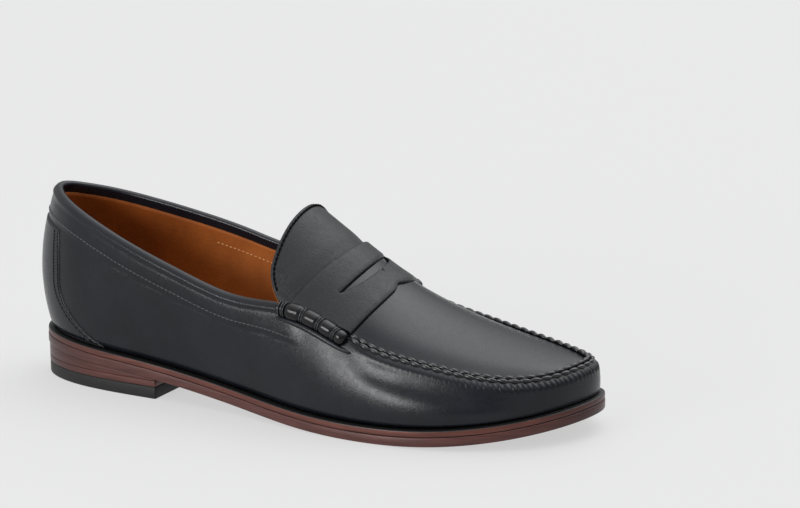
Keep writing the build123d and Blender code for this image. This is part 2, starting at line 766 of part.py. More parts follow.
with BuildPart() as tongue_stitches:
    row_reach = TONGUE_HALF - TONGUE_CORNER[2]
    row_bend = TONGUE_HOLLOW / row_reach**2
    spots = [(TONGUE_BACK + TONGUE_HOLLOW + TONGUE_ROW - row_bend * y * y, y)
             for y in spread(-row_reach, row_reach, 36)]
    with Locations(*[sheet_stitch(*a, *b, 0.1) for a, b in zip(spots[:-1], spots[1:])]):
        Cylinder(THREAD, 1.2)
tongue_stitches.part.label = "tongue_stitches"
export_step(tongue_stitches.part, "parts/tongue_stitches.step")
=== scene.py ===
import math

import bmesh
import bpy
import numpy as np
from mathutils import Matrix, Vector


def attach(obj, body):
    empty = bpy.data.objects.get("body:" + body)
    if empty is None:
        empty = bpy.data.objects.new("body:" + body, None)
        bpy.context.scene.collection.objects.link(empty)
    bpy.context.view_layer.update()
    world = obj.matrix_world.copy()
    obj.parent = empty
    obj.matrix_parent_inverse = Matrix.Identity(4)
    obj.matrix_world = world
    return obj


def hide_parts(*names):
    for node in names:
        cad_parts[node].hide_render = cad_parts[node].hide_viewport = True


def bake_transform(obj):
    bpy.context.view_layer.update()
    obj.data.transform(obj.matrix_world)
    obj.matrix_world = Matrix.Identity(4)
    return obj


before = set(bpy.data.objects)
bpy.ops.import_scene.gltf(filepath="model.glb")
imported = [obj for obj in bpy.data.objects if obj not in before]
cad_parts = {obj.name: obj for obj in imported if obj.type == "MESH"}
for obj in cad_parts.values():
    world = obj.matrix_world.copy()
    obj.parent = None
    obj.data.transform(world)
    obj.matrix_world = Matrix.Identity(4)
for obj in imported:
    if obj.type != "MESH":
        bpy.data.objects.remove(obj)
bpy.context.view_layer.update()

MM = 0.001             # the shape below is worked out in millimetres

# ---- driving dimensions: the CAD model's, with the slot, rolls, tongue and seam refined ----
FEATHER = 3.0          # ledge of welt that shows outside the upper
SOLE_EDGE = 7.5        # welt and outsole together
WELT = 3.0
HEEL_FRONT = -66.0     # x of the heel breast
TOP_PIECE = 6.0
HEEL_LIFT = 3.0
ROLL_RADIUS = 4.4
APRON = 2.0
STRAP = 2.0
STRAP_CROWN_Y = -1.0
STRAP_HALF = 38.5
STRAP_BACK = (26.4, 0.0103)    # x where the edge crosses the middle, and how strongly it curves
STRAP_LOBES = (51.0, 50.0)     # x of the front edge's lateral and medial lobe
STRAP_NOTCH = 49.2             # x of the notch between them
SLOT_BACK = (36.3, 0.0085)
SLOT_CROWN_Y = -5.0
SLOT_WIDTH = 4.0       # along the shoe
SLOT_HALF = 27.0
SLOT_NICK = 1.8
TONGUE_BACK = -2.0     # x of the free edge near its corners
TONGUE_HOLLOW = 2.4    # its middle lies that far forward
# Stations go from the back of the heel along the lateral side to the toe and back. A row has the
# edge of the sole x, y, the top of the wall x, y, and the topline's height, or None at the apron.
STATIONS = [
    (-145, 3, -140, 3, 93),
    (-138, -15, -134, -9.5, 91.5),
    (-117, -27.5, -115, -22, 86),
    (-87, -32.5, -83, -29, 74.5),
    (-50, -34.5, -50, -32.5, 64),
    (-15, -39, -17.5, -35, 56.5),
    (20, -47, 17, -37, 55),
    (55, -50.5, 48.5, -39.5, None),
    (87, -47.5, 77.5, -37.5, None),
    (116, -35, 107.5, -30.5, None),
    (138, -16, 131, -16.5, None),
    (148, 8, 142, 6.5, None),
    (142, 28.5, 136, 23.5, None),
    (120, 44, 109, 33, None),
    (87, 50.5, 77.5, 37.5, None),
    (53, 49, 46, 38, None),
    (17, 39, 15.5, 36, None),
    (-17, 32, -18.5, 34, 65),
    (-50, 31, -49.5, 33, 72),
    (-87, 34.5, -82.5, 31, 79.5),
    (-117, 32, -114.5, 26, 86),
    (-138, 20, -133, 15.5, 90.5),
]
LAP = len(STATIONS)
ROLL_LATERAL = (5.65, 6.8)     # stations of the rolls' back and front ends
ROLL_MEDIAL = (16.3, 15.15)
SEAM = (6.75, 15.2)            # stations between which the apron's seam runs round the toe
SEAM_LEVEL, SEAM_TILT = -0.5, 0.029     # the seam lies lower on the outer side
# Along x: height of the apron's crest, its fall at FALL_REACH beside the crest, the crest's y, and
# the height of the welt's top.
FALL_REACH = 34.0
INSTEP = [(-20, 108), (0, 96), (25, 78.5), (50, 62.5), (85, 48), (115, 40), (138, 34.5)]
FALL = [(-50, 32), (-5, 27), (30, 17.5), (60, 11), (95, 8.5), (140, 8.5)]
MIDDLE = [(-50, 2), (15, 1), (75, 2), (140, 8)]
WELT_TOP = [(-145, 23.5), (-105, 20.5), (-70, 17.8), (-35, 13.6), (5, 9.3), (45, 7.5),
            (85, 8.6), (118, 12.1), (149, 18.2)]
# Along the stations: how far the wall swells out low down and high up.
SWELL = [(0, 9, 8), (2.5, 3.5, 5), (5, 2, 4), (8, 3, 6), (11, 2.5, 3.5), (14, 3, 6),
         (17, 1, 4), (19.5, 3.5, 5)]

# ---- looks ----
COLLAR_DROP = 13.4     # from the topline down to the foot of the collar
COLLAR_ENDS = (5.95, 16.2)     # stations where the collar meets the rolls, lateral and medial
COLLAR_PITCH, COLLAR_STITCH = 2.4, 1.8     # from stitch to stitch, and the length of each
ROW_ABOVE_FOOT = 1.4   # the collar's row of stitches lies this far above its foot
FOXING_INSETS = (0.05, 0.19)   # the foxing's two rows of stitches, in stations from its edge
BAND = 4.8             # black leather that shows inside the topline
EDGE = 1.7             # radius of the folded topline
LINING_SEAM = 1.74     # station of the seam between the heel grip and the quarter linings
LINING_ROW = (17.4, 18.5)      # stations where the lining's row of stitches starts and ends
LINING_ROW_DROP = 12.9
LINING_BACK, LINING_FACE = 3.25, 3.95      # depths below the face of the wall
LINING_PITCH, LINING_STITCH = 2.3, 1.2
SEAM_PITCH = 5.2       # braided stitches of the apron seam
SEAM_IN, SEAM_DOWN = 1.7, 0.6  # from the topline to the middle of the seam's ridge
RIDGE_RADIUS = 1.4
TONGUE_PITCH = 2.5     # stitches along the tongue's free edge
TONGUE_ROW_HALF = 36.6         # half the span of that row
THREAD = 0.32          # radius of sewing thread
TONGUE_THREAD = 0.55
TUCK = 1.3             # the wall is drawn in where it meets the welt


# ---- shape of the last ----
def smooth(knots, values, lap=None):
    """A cubic curve through the values, with natural ends, or closed after one lap."""
    knots = np.array(knots, float)
    values = np.array(values, float)
    flat = values.ndim == 1
    values = values.reshape(len(values), -1)
    if lap:
        knots = np.append(knots, knots[0] + lap)
        values = np.concatenate([values, values[:1]])
    step = np.diff(knots)
    slope = np.diff(values, axis=0) / step[:, None]
    count = len(knots)
    system = np.eye(count)
    right = np.zeros(values.shape)
    for i in range(1, count - 1):
        system[i, i - 1:i + 2] = step[i - 1], 2 * (step[i - 1] + step[i]), step[i]
        right[i] = 6 * (slope[i] - slope[i - 1])
    if lap:
        system[0, :2] = 2 * (step[-1] + step[0]), step[0]
        system[0, -2] = step[-1]
        right[0] = 6 * (slope[0] - slope[-1])
        system[-1, 0] = -1
    bend = np.linalg.solve(system, right)

    def curve(t):
        t = np.asarray(t, float)
        if lap:
            t = (t - knots[0]) % lap + knots[0]
        i = np.clip(np.searchsorted(knots, t, side="right") - 1, 0, count - 2)
        b = ((t - knots[i]) / step[i])[..., None]
        a = 1 - b
        swing = ((a**3 - a) * bend[i] + (b**3 - b) * bend[i + 1]) * (step[i] ** 2)[..., None] / 6
        point = a * values[i] + b * values[i + 1] + swing
        return point[..., 0] if flat else point

    return curve


def along(table):
    return smooth([row[0] for row in table], [row[1] for row in table])


instep, fall, middle, welt_top = along(INSTEP), along(FALL), along(MIDDLE), along(WELT_TOP)


def apron_height(x, y):
    return instep(x) - fall(x) * ((y - middle(x)) / FALL_REACH) ** 2


outline = smooth(range(LAP), [row[:2] for row in STATIONS], LAP)
topline = smooth(
    range(LAP),
    [(x, y, z or float(apron_height(x, y)) + SEAM_LEVEL + SEAM_TILT * y)
     for _, _, x, y, z in STATIONS],
    LAP,
)
swell = smooth([row[0] for row in SWELL], [row[1:] for row in SWELL], LAP)


def outward(station):
    ahead = outline(station + 0.02) - outline(station - 0.02)
    normal = np.stack([ahead[..., 1], -ahead[..., 0], 0 * ahead[..., 0]], -1)
    return normal / np.linalg.norm(normal, axis=-1, keepdims=True)


def sole_point(station, inset):
    return outline(station) - outward(station)[..., :2] * np.asarray(inset)[..., None]


def wall(station, share, depth):
    """Points on the wall at a station, a share of its height and a depth below its face."""
    station, share, depth = np.broadcast_arrays(
        *[np.asarray(value, float) for value in (station, share, depth)])
    xy = sole_point(station, np.full(station.shape, FEATHER))
    foot = np.concatenate([xy, (welt_top(xy[..., 0]) + 0.2)[..., None]], -1)
    out = outward(station)
    rise = topline(station) - foot
    lean = (rise * out).sum(-1)
    up = rise - lean[..., None] * out
    height = np.linalg.norm(up, axis=-1)
    up = up / height[..., None]
    low, high = np.moveaxis(swell(station), -1, 0)
    zero = 0 * lean
    legs = [np.stack(leg, -1) for leg in (
        (zero, zero), (low, 0.35 * height), (lean + high, 0.7 * height), (lean, height))]
    s = share[..., None]
    r = 1 - s
    point = r**3 * legs[0] + 3 * r * r * s * legs[1] + 3 * r * s * s * legs[2] + s**3 * legs[3]
    way = (r * r * (legs[1] - legs[0]) + 2 * r * s * (legs[2] - legs[1])
           + s * s * (legs[3] - legs[2]))
    inward = np.stack([-way[..., 1], way[..., 0]], -1)
    inward /= np.linalg.norm(inward, axis=-1, keepdims=True)
    point = point + depth[..., None] * inward
    return foot + point[..., :1] * out + point[..., 1:] * up


# Length along the topline, for stitches at an even pitch and for shares in millimetres.
LAP_GRID = np.linspace(0, LAP, 1761)
lap_steps = np.linalg.norm(np.diff(topline(LAP_GRID), axis=0), axis=1)
LAP_LENGTH = np.concatenate([[0], np.cumsum(lap_steps)])


def length_at(station):
    turns = np.floor(np.asarray(station, float) / LAP)
    return np.interp(station - turns * LAP, LAP_GRID, LAP_LENGTH) + turns * LAP_LENGTH[-1]


def station_at(length):
    turns = np.floor(np.asarray(length, float) / LAP_LENGTH[-1])
    return np.interp(length - turns * LAP_LENGTH[-1], LAP_LENGTH, LAP_GRID) + turns * LAP


def wall_height(station):
    """Height up the face, which bulges and so is about a twentieth more than a straight line."""
    return np.linalg.norm(wall(station, 1.0, 0.0) - wall(station, 0.0, 0.0), axis=-1) * 1.05


def bump(value, centre, width):
    return np.exp(-((value - centre) / width) ** 2)


def ease(value, low, high):
    t = np.clip((value - low) / (high - low), 0, 1)
    return t * t * (3 - 2 * t)


def ripple(x, y, z, size, seed):
    """Gentle unevenness of leather: a few crossing waves of a given size in millimetres."""
    rng = np.random.default_rng(seed)
    total = 0
    for _ in range(7):
        way = rng.normal(size=3)
        way /= np.linalg.norm(way)
        scale = size * rng.uniform(0.7, 1.6)
        phase = rng.uniform(0, 2 * math.pi)
        total = total + np.sin((x * way[0] + y * way[1] + z * way[2]) * 2 * math.pi / scale + phase)
    return total / 7


# ---- mesh helpers ----
def make_mesh(name, points, faces, material, body="shoe"):
    mesh = bpy.data.meshes.new(name)
    mesh.from_pydata((np.asarray(points) * MM).tolist(), [], faces)
    work = bmesh.new()
    work.from_mesh(mesh)
    bmesh.ops.remove_doubles(work, verts=work.verts, dist=0.002 * MM)
    work.to_mesh(mesh)
    work.free()
    mesh.polygons.foreach_set("use_smooth", [True] * len(mesh.polygons))
    mesh.update()
    piece = bpy.data.objects.new(name, mesh)
    bpy.context.scene.collection.objects.link(piece)
    mesh.materials.append(material)
    if body:
        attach(piece, body)
    return piece


def grid_faces(rows, columns, close_rows=False, close_columns=False, start=0, flip=False):
    faces = []
    for i in range(rows if close_rows else rows - 1):
        for j in range(columns if close_columns else columns - 1):
            a = i * columns + j
            b = i * columns + (j + 1) % columns
            c = ((i + 1) % rows) * columns + (j + 1) % columns
            d = ((i + 1) % rows) * columns + j
            face = (a + start, b + start, c + start, d + start)
            faces.append(face[::-1] if flip else face)
    return faces


def skin(upper, lower):
    """Closed sheet between two grids of points of the same shape."""
    rows, columns = upper.shape[:2]
    points = np.concatenate([upper.reshape(-1, 3), lower.reshape(-1, 3)])
    below = rows * columns
    faces = grid_faces(rows, columns) + grid_faces(rows, columns, start=below, flip=True)
    rim = ([(0, j) for j in range(columns - 1)] + [(i, columns - 1) for i in range(rows - 1)]
           + [(rows - 1, j) for j in range(columns - 1, 0, -1)]
           + [(i, 0) for i in range(rows - 1, 0, -1)])
    index = [i * columns + j for i, j in rim]
    for a, b in zip(index, index[1:] + index[:1]):
        faces.append((b, a, a + below, b + below))
    return points, faces


def tubes(paths, radii, sides=8):
    """One mesh of round tubes along paths, with a radius at each point and closed ends."""
    points, faces = [], []
    for path, radius in zip(paths, radii):
        path = np.asarray(path, float)
        way = np.gradient(path, axis=0)
        way /= np.linalg.norm(way, axis=1, keepdims=True)
        side = np.cross(way[0], (0.3, 0.2, 1.0))
        start = len(points)
        for p, w, r in zip(path, way, np.broadcast_to(radius, len(path))):
            side = side - w * (side @ w)
            side = side / np.linalg.norm(side)
            across = np.cross(w, side)
            for k in range(sides):
                angle = 2 * math.pi * k / sides
                points.append(p + r * (side * math.cos(angle) + across * math.sin(angle)))
        count = len(path)
        faces += grid_faces(count, sides, close_columns=True, start=start)
        faces.append(tuple(range(start + sides - 1, start - 1, -1)))
        last = start + (count - 1) * sides
        faces.append(tuple(range(last, last + sides)))
    return np.array(points), faces


def stitch_paths(starts, ends, normals, rise, sink):
    """Stitches that come out of the leather, lie on it and go in again."""
    shape = [(0, -sink), (0.08, rise * 0.3), (0.3, rise),
             (0.7, rise), (0.92, rise * 0.3), (1, -sink)]
    paths = []
    for a, b, n in zip(starts, ends, normals):
        paths.append([a + (b - a) * t + n * h for t, h in shape])
    return paths


# ---- materials ----
def material(name, colour, roughness):
    made = bpy.data.materials.new(name)
    made.use_nodes = True
    shader = made.node_tree.nodes["Principled BSDF"]
    shader.inputs["Base Color"].default_value = (*colour, 1)
    shader.inputs["Roughness"].default_value = roughness
    return made, made.node_tree, shader


def add_node(tree, kind, **inputs):
    node = tree.nodes.new(kind)
    for key, value in inputs.items():
        node.inputs[key.replace("_", " ")].default_value = value
    return node


def ramp(tree, source, low, high, dark, light):
    node = tree.nodes.new("ShaderNodeValToRGB")
    node.color_ramp.elements[0].position = low
    node.color_ramp.elements[1].position = high
    node.color_ramp.elements[0].color = dark if len(dark) == 4 else (*dark, 1)
    node.color_ramp.elements[1].color = light if len(light) == 4 else (*light, 1)
    tree.links.new(source, node.inputs["Fac"])
    return node.outputs["Color"]


def grey(value):
    return (value, value, value)


def multiply(tree, first_colour, second_colour):
    """The product of two colours."""
    mix = tree.nodes.new("ShaderNodeMix")
    mix.data_type = "RGBA"
    mix.blend_type = "MULTIPLY"
    mix.inputs["Factor"].default_value = 1.0
    inputs = {socket.name: socket for socket in mix.inputs if socket.type == "RGBA"}
    tree.links.new(first_colour, inputs["A"])
    tree.links.new(second_colour, inputs["B"])
    return [socket for socket in mix.outputs if socket.type == "RGBA"][0]


def leather(name, dark, light, rough, grain=1.0, pores=700.0, shine=0.28, painted_heel_shade=0.0):
    """Leather with fine pores, a cell-like grain, and patches that vary in colour and gloss.

    A heel shade share darkens the colour towards the heel: painted shade inside the back of the
    shoe.
    """
    made, tree, shader = material(name, dark, sum(rough) / 2)
    place = tree.nodes.new("ShaderNodeTexCoord").outputs["Object"]
    patches = add_node(tree, "ShaderNodeTexNoise", Scale=45.0, Detail=4.0, Roughness=0.55)
    cells = add_node(tree, "ShaderNodeTexVoronoi", Scale=pores)
    cells.feature = "DISTANCE_TO_EDGE"
    fine = add_node(tree, "ShaderNodeTexNoise", Scale=pores * 2.6, Detail=3.0, Roughness=0.6)
    creases = add_node(tree, "ShaderNodeTexNoise", Scale=pores * 0.35, Detail=3.0, Roughness=0.5,
                       Distortion=0.8)
    for node in (patches, cells, fine, creases):
        tree.links.new(place, node.inputs["Vector"])
    colour = ramp(tree, patches.outputs["Fac"], 0.3, 0.72, dark, light)
    # painted shade: the colour darkens towards the heel, where the inside of the shoe lies in shade
    if painted_heel_shade:
        parts = tree.nodes.new("ShaderNodeSeparateXYZ")
        tree.links.new(place, parts.inputs["Vector"])
        span = tree.nodes.new("ShaderNodeMapRange")
        span.inputs["From Min"].default_value = -0.10
        span.inputs["From Max"].default_value = 0.02
        tree.links.new(parts.outputs["X"], span.inputs["Value"])
        colour = multiply(tree, colour, ramp(tree, span.outputs["Result"], 0.0, 1.0,
                                             (1 - painted_heel_shade, 1 - 1.25 * painted_heel_shade, 1 - 1.3 * painted_heel_shade), grey(1)))
    tree.links.new(colour, shader.inputs["Base Color"])
    tree.links.new(ramp(tree, creases.outputs["Fac"], 0.3, 0.7, grey(rough[0]), grey(rough[1])),
                   shader.inputs["Roughness"])
    edges = ramp(tree, cells.outputs["Distance"], 0.0, 0.16, grey(0), grey(1))
    first = add_node(tree, "ShaderNodeBump", Strength=0.35 * grain, Distance=0.00012)
    second = add_node(tree, "ShaderNodeBump", Strength=0.3 * grain, Distance=0.00006)
    third = add_node(tree, "ShaderNodeBump", Strength=0.3 * grain, Distance=0.0003)
    tree.links.new(edges, first.inputs["Height"])
    tree.links.new(fine.outputs["Fac"], second.inputs["Height"])
    tree.links.new(creases.outputs["Fac"], third.inputs["Height"])
    tree.links.new(third.outputs["Normal"], second.inputs["Normal"])
    tree.links.new(second.outputs["Normal"], first.inputs["Normal"])
    tree.links.new(first.outputs["Normal"], shader.inputs["Normal"])
    shader.inputs["Specular IOR Level"].default_value = shine
    return made


def burnished(name, dark, light, rough=0.38):
    """Edge of sole leather: streaks along the edge, darker at the heel's back and at the toe."""
    made, tree, shader = material(name, light, rough)
    place = tree.nodes.new("ShaderNodeTexCoord").outputs["Object"]
    stretch = tree.nodes.new("ShaderNodeMapping")
    stretch.inputs["Scale"].default_value = (1, 1, 14)
    streaks = add_node(tree, "ShaderNodeTexNoise", Scale=55.0, Detail=5.0, Roughness=0.6)
    fibres = add_node(tree, "ShaderNodeTexNoise", Scale=900.0, Detail=3.0, Roughness=0.6)
    tree.links.new(place, stretch.inputs["Vector"])
    tree.links.new(stretch.outputs["Vector"], streaks.inputs["Vector"])
    tree.links.new(place, fibres.inputs["Vector"])
    colour = ramp(tree, streaks.outputs["Fac"], 0.3, 0.75, dark, light)
    parts = tree.nodes.new("ShaderNodeSeparateXYZ")
    tree.links.new(place, parts.inputs["Vector"])
    ends = tree.nodes.new("ShaderNodeValToRGB")
    span = tree.nodes.new("ShaderNodeMapRange")
    span.inputs["From Min"].default_value = -0.147
    span.inputs["From Max"].default_value = 0.149
    tree.links.new(parts.outputs["X"], span.inputs["Value"])
    tree.links.new(span.outputs["Result"], ends.inputs["Fac"])
    ends.color_ramp.elements[0].position = 0.0
    ends.color_ramp.elements[0].color = (0.32, 0.27, 0.3, 1)
    ends.color_ramp.elements[1].position = 0.18
    ends.color_ramp.elements[1].color = (1, 1, 1, 1)
    toe = ends.color_ramp.elements.new(0.93)
    toe.color = (1, 1, 1, 1)
    tip = ends.color_ramp.elements.new(1.0)
    tip.color = (0.45, 0.4, 0.42, 1)
    tree.links.new(multiply(tree, colour, ends.outputs["Color"]), shader.inputs["Base Color"])
    lines = add_node(tree, "ShaderNodeBump", Strength=0.25, Distance=0.0002)
    tree.links.new(streaks.outputs["Fac"], lines.inputs["Height"])
    grain = add_node(tree, "ShaderNodeBump", Strength=0.2, Distance=0.0001)
    tree.links.new(fibres.outputs["Fac"], grain.inputs["Height"])
    tree.links.new(lines.outputs["Normal"], grain.inputs["Normal"])
    tree.links.new(grain.outputs["Normal"], shader.inputs["Normal"])
    shader.inputs["Coat Weight"].default_value = 0.08
    shader.inputs["Coat Roughness"].default_value = 0.25
    shader.inputs["Specular IOR Level"].default_value = 0.3
    return made


def speckled(name, dark, light, rough, scale, strength, metallic=0.0, shine=0.5):
    """Rubber, board, cork, thread and metal: mottled, with a fine surface."""
    made, tree, shader = material(name, light, rough)
    place = tree.nodes.new("ShaderNodeTexCoord").outputs["Object"]
    mottle = add_node(tree, "ShaderNodeTexNoise", Scale=scale, Detail=5.0, Roughness=0.65)
    tree.links.new(place, mottle.inputs["Vector"])
    tree.links.new(ramp(tree, mottle.outputs["Fac"], 0.3, 0.7, dark, light),
                   shader.inputs["Base Color"])
    surface = add_node(tree, "ShaderNodeBump", Strength=strength, Distance=0.0002)
    tree.links.new(mottle.outputs["Fac"], surface.inputs["Height"])
    tree.links.new(surface.outputs["Normal"], shader.inputs["Normal"])
    shader.inputs["Metallic"].default_value = metallic
    shader.inputs["Specular IOR Level"].default_value = shine
    return made


BLACK_DARK = (0.0036, 0.0041, 0.0062)
BLACK_LIGHT = (0.0068, 0.0078, 0.0116)
UPPER = leather("upper_leather", BLACK_DARK, BLACK_LIGHT, (0.24, 0.31), 0.42, 900.0)
GRAINED = leather("strap_leather", (0.006, 0.0065, 0.0078), (0.011, 0.012, 0.0142),
                  (0.36, 0.48), 1.3, 950.0)
GLOSSY = leather("roll_leather", (0.002, 0.002, 0.0026), (0.004, 0.004, 0.005),
                 (0.15, 0.24), 0.3, 900.0)
# the lining's colour holds painted shade, darker towards the heel
TAN = leather("lining_leather", (0.25, 0.070, 0.0095), (0.38, 0.114, 0.018),
              (0.55, 0.68), 1.0, 420.0, shine=0.15, painted_heel_shade=0.34)
SOCK = leather("sock_leather", (0.19, 0.055, 0.008), (0.28, 0.085, 0.014),
               (0.6, 0.7), 1.0, 420.0, shine=0.15)
WELT_LEATHER = burnished("welt_edge", (0.060, 0.016, 0.011), (0.120, 0.036, 0.025))
SOLE_LEATHER = burnished("sole_edge", (0.046, 0.015, 0.013), (0.094, 0.033, 0.027))
HEEL_LEATHER = burnished("heel_stack", (0.046, 0.014, 0.011), (0.102, 0.033, 0.026))
# black dressing on the welt's top and bottom, also standing in as painted shade of the gap under the
# upper
DRESSING_AND_SHADE = speckled("welt_dressing_and_shade", (0.003, 0.003, 0.0035), (0.006, 0.006, 0.007),
                   0.5, 700.0, 0.2)
RUBBER = speckled("heel_rubber", (0.006, 0.006, 0.0065), (0.011, 0.011, 0.0115),
                  0.55, 500.0, 0.3, shine=0.3)
CORD = speckled("black_cord", (0.003, 0.003, 0.004), (0.007, 0.007, 0.009), 0.26, 1500.0, 0.3)
THREAD_BLACK = speckled("black_thread", (0.003, 0.003, 0.004), (0.008, 0.008, 0.01),
                        0.5, 1800.0, 0.6)
THREAD_DULL = speckled("dull_thread", (0.001, 0.001, 0.0012), (0.002, 0.002, 0.0024),
                       0.8, 1800.0, 0.3, shine=0.08)
ROLL_THREAD = speckled("roll_thread", (0.010, 0.0105, 0.012), (0.022, 0.023, 0.026),
                       0.3, 1500.0, 0.4)
THREAD_GREY = speckled("grey_thread", (0.02, 0.021, 0.025), (0.06, 0.063, 0.072), 0.5, 1800.0, 0.6)
THREAD_TAN = speckled("tan_thread", (0.50, 0.24, 0.08), (0.66, 0.36, 0.14), 0.6, 1800.0, 0.6)
BOARD = speckled("fibreboard", (0.25, 0.17, 0.09), (0.4, 0.29, 0.17), 0.8, 300.0, 0.4)
CORK = speckled("cork", (0.2, 0.12, 0.06), (0.42, 0.28, 0.16), 0.85, 250.0, 0.8)
STEEL = speckled("shank_steel", (0.4, 0.4, 0.41), (0.56, 0.56, 0.57), 0.35, 800.0, 0.2, 1.0)
BRASS = speckled("nail_brass", (0.45, 0.3, 0.12), (0.62, 0.45, 0.2), 0.4, 800.0, 0.2, 1.0)


def stands_for(piece, slot, *nodes):
    """Hides the CAD nodes that the piece takes the place of; the material slot is not used."""
    if nodes:
        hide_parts(*nodes)
    return piece


# ---- wall of the upper ----
def collar_drop(station):
    """From the topline down to the foot of the collar, which dips towards the rolls."""
    dip = bump(station, COLLAR_ENDS[0], 0.5) + bump(station, COLLAR_ENDS[1], 0.5)
    return COLLAR_DROP + 3.0 * dip


def wall_relief(station, share, height):
    """How far the face of the wall stands out, in millimetres: collar, puckers, unevenness."""
    below = (1 - share) * height
    length = length_at(station)
    front = ease(station, 6.7, 7.4) * (1 - ease(station, 14.6, 15.3))
    toe = ease(station, 8.2, 9.8) * (1 - ease(station, 12.4, 13.8))
    pleat = np.cos(4 * math.pi * length / SEAM_PITCH + 0.9 * np.sin(0.37 * length))
    near_seam = bump(below, 2.6 + 0.5 * np.sin(0.8 * length), 1.9)
    relief = 0.36 * pleat * near_seam * front * (0.12 + 0.88 * toe)
    # gathered leather swells just under the seam, and is drawn in below that
    relief = relief + front * (0.95 * bump(below, 3.3, 3.0) - 0.6 * bump(below, 12.0, 4.6))
    # the collar: a roll along the topline, a fold under it, and a raised foot with its groove
    collar = (1 - ease(station, 5.8, 6.1)) + ease(station, 16.1, 16.4)
    foot = collar_drop(station)
    edge = ease(below, foot + 0.8, foot)
    roll = 0.5 * bump(below, 2.2, 1.4)
    flare = 0.35 * ease(below, foot, 3.0) * ease(below, 0.0, 1.5)
    groove = 0.3 * bump(below, foot + 1.0, 0.5) + 0.22 * bump(below, foot - 1.4, 0.4)
    fold = 0.25 * bump(below, 4.3, 0.6)
    relief = relief + collar * (0.38 * edge + roll + flare - groove - fold)
    place = np.moveaxis(wall(station, share, 0.0), -1, 0)
    calm = 1 - 0.6 * front * ease(share, 0.75, 1.0)
    relief = relief + calm * (0.20 * ripple(*place, 46, 3) + 0.07 * ripple(*place, 15, 4))
    return relief * ease(share, 0.0, 0.08) - TUCK * (1 - ease(share, 0.0, 0.055))


def on_face(station, share, lift=0.0):
    """Points on the finished face of the wall, or lifted off it."""
    return wall(station, share, -(wall_relief(station, share, wall_height(station)) + lift))


columns = 1100
lap_lengths = np.linspace(0, LAP_LENGTH[-1], columns, endpoint=False)
stations = station_at(lap_lengths)[:, None]
heights = wall_height(stations)
shares_up = 1 - (1 - np.linspace(0, 1, 44)[None, :]) ** 1.25     # closer together at the top
face = on_face(stations, shares_up)
turn = np.linspace(0, math.pi, 9)[None, 1:-1]
over_centre = wall(stations, np.ones(turn.shape), EDGE)
toward = wall(stations, np.ones((1, 1)), 0.0) - wall(stations, np.ones((1, 1)), EDGE)
climb = wall(stations, np.ones((1, 1)), EDGE) - wall(stations, np.full((1, 1), 0.97), EDGE)
climb /= np.linalg.norm(climb, axis=-1, keepdims=True)
over = over_centre + np.cos(turn)[..., None] * toward + np.sin(turn)[..., None] * EDGE * 0.8 * climb
inner_below = np.linspace(0, BAND, 8)[None, :]
band = wall(stations, 1 - inner_below / heights, 2 * EDGE)
inner_shares = np.linspace(1, 0, 10)[None, :]
inner_top = 1 - (BAND + 0.4) / heights
inside = wall(stations, inner_top * inner_shares, 1.6)
ring = np.concatenate([face, over, band, inside], axis=1)
rows = ring.shape[1]
upper_wall = make_mesh("vamp_wall_skin", ring.reshape(-1, 3),
                       grid_faces(columns, rows, close_rows=True, close_columns=True), UPPER)
stands_for(upper_wall, "upper_leather", "vamp_wall", "topline_binding", "collar_band")


# ---- heel foxing ----
def foxing_station(share, side):
    """Station of the foxing's edge: steep below the collar, then sweeping forward to the sole."""
    low = np.clip(1 - share / 0.4, 0, None)
    high = np.clip(share - 0.4, 0, None)
    return side * (1.70 + 1.03 * low**2 - 0.88 * high**2)


FOXING_TOP_SHARE = 0.775
fox_shares = np.linspace(0.004, FOXING_TOP_SHARE, 34)
fox_across = np.sin(np.linspace(-math.pi / 2, math.pi / 2, 81))
left = foxing_station(fox_shares, -1)
right = foxing_station(fox_shares, 1)
fox_stations = np.where(fox_across[None, :] < 0, -fox_across[None, :] * left[:, None],
                        fox_across[None, :] * right[:, None])
rim = ease(1 - np.abs(fox_across), 0, 0.008)[None, :]
fox_face = on_face(fox_stations, fox_shares[:, None], 0.05 + 0.5 * rim)
fox_back = wall(fox_stations, fox_shares[:, None], 0.6)
foxing = make_mesh("heel_foxing_skin", *skin(fox_face, fox_back), UPPER)
stands_for(foxing, "upper_leather", "heel_foxing")

starts, ends, normals = [], [], []
for side in (-1, 1):
    for inset in FOXING_INSETS:
        pitch_shares = np.linspace(0.03, FOXING_TOP_SHARE - 0.02, 34)
        line = foxing_station(pitch_shares, side) - side * inset
        spots = on_face(line, pitch_shares, 0.5)
        out = outward(line)
        for a, b, n in zip(spots[:-1], spots[1:], out[:-1]):
            starts.append(a + (b - a) * 0.12)
            ends.append(a + (b - a) * 0.88)
            normals.append(n)
points, faces = tubes(stitch_paths(starts, ends, normals, 0.25, 0.3), [THREAD] * len(starts), 6)
fox_thread = make_mesh("foxing_stitches_skin", points, faces, THREAD_BLACK)
stands_for(fox_thread, "black_thread", "foxing_stitches")


def collar_row(station):
    """Points of the row of stitches above the collar's foot."""
    share = 1 - (collar_drop(station) - ROW_ABOVE_FOOT) / wall_height(station)
    return on_face(station, share)


marks = np.arange(length_at(COLLAR_ENDS[1] - LAP), length_at(COLLAR_ENDS[0]), COLLAR_PITCH)
starts, ends = collar_row(station_at(marks)), collar_row(station_at(marks + COLLAR_STITCH))
points, faces = tubes(stitch_paths(starts, ends, outward(station_at(marks)), 0.35, 0.4),
                      [THREAD] * len(marks), 6)
collar_thread = make_mesh("collar_stitches_skin", points, faces, THREAD_GREY)
stands_for(collar_thread, "black_thread", "collar_stitches")


